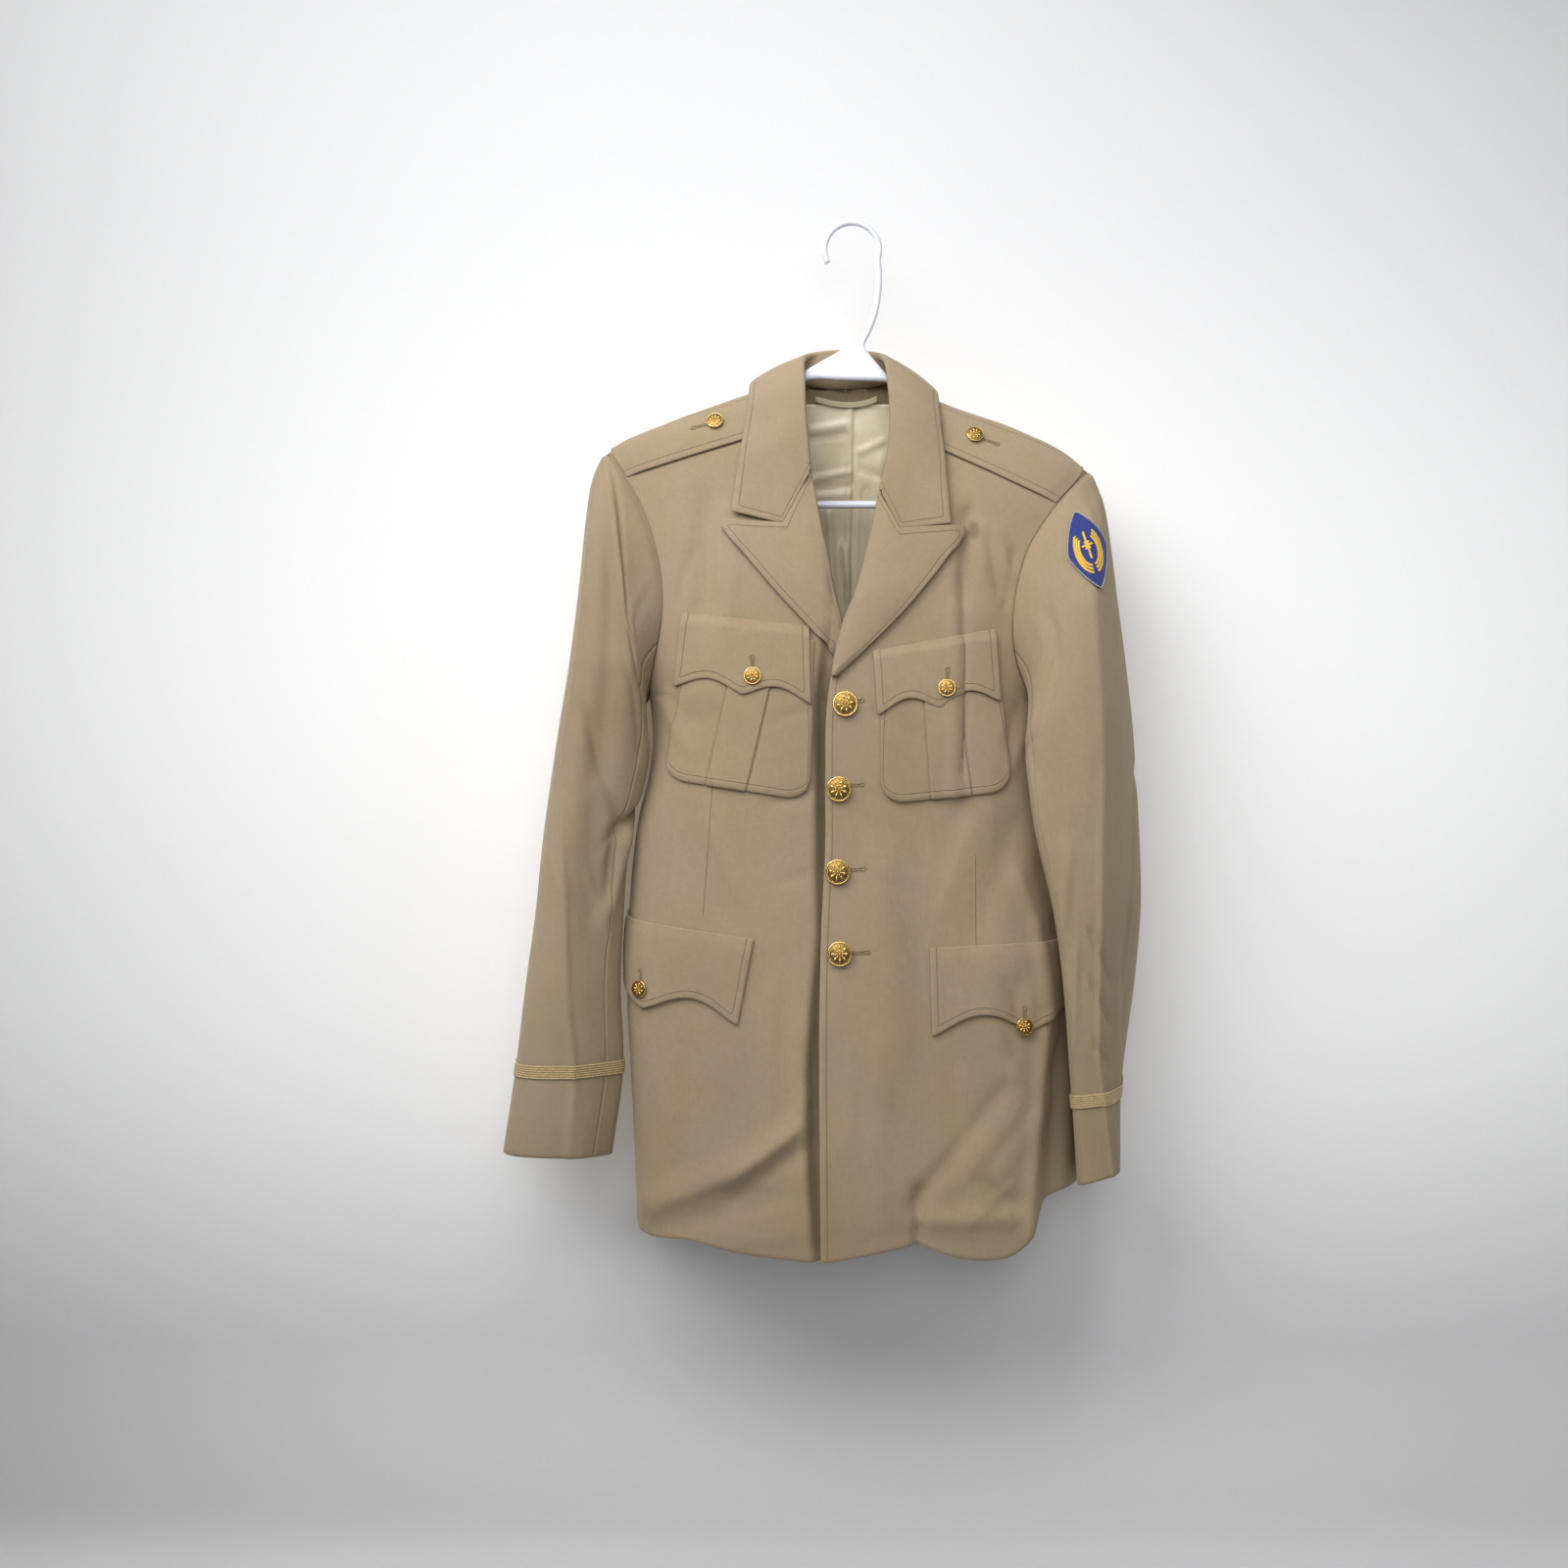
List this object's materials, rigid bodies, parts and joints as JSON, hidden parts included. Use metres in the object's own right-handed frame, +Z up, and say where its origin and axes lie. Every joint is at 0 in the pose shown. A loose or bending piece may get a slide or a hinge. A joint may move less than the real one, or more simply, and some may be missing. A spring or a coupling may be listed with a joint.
{
  "type": "uniform jacket on hanger",
  "caption": "Tan single-breasted uniform jacket, buttoned, with peaked lapels, shoulder straps, flapped pockets and braided cuffs, hanging on a white plastic hanger.",
  "frame": {"origin": "inside top of the hanger's hook, where a rail or a hook carries it", "axes": "+Z up along the jacket, +X to the wearer's left, +Y from the front to the back"},
  "size_m": [0.6084, 0.1714, 0.9742],
  "materials": {
    "cloth": "tan tropical worsted, fine twill",
    "lining": "khaki satin",
    "gilt": "gilt, softly polished",
    "braid": "gold-coloured braid",
    "patch": "embroidered",
    "hanger": "white moulded plastic"
  },
  "bodies": {
    "root": {"front_right": "cloth", "front_left": "cloth", "back_right": "cloth", "back_left": "cloth", "sleeve_right_top": "cloth", "sleeve_right_under": "cloth", "sleeve_left_top": "cloth", "sleeve_left_under": "cloth", "collar": "cloth", "lapel_right": "cloth", "lapel_left": "cloth", "chest_pocket_right": "cloth", "chest_pocket_left": "cloth", "chest_flap_right": "cloth", "chest_flap_left": "cloth", "lower_flap_right": "cloth", "lower_flap_left": "cloth", "shoulder_strap_right": "cloth", "shoulder_strap_left": "cloth", "lining_back": "lining", "hanging_loop": "cloth", "cuff_braid_right": "braid", "cuff_braid_left": "braid", "sleeve_patch": "patch", "hanger": "hanger", "button_front_1": "gilt", "button_front_2": "gilt", "button_front_3": "gilt", "button_front_4": "gilt", "button_chest_right": "gilt", "button_chest_left": "gilt", "button_lower_right": "gilt", "button_lower_left": "gilt", "button_strap_right": "gilt", "button_strap_left": "gilt"}
  },
  "joints": []
}
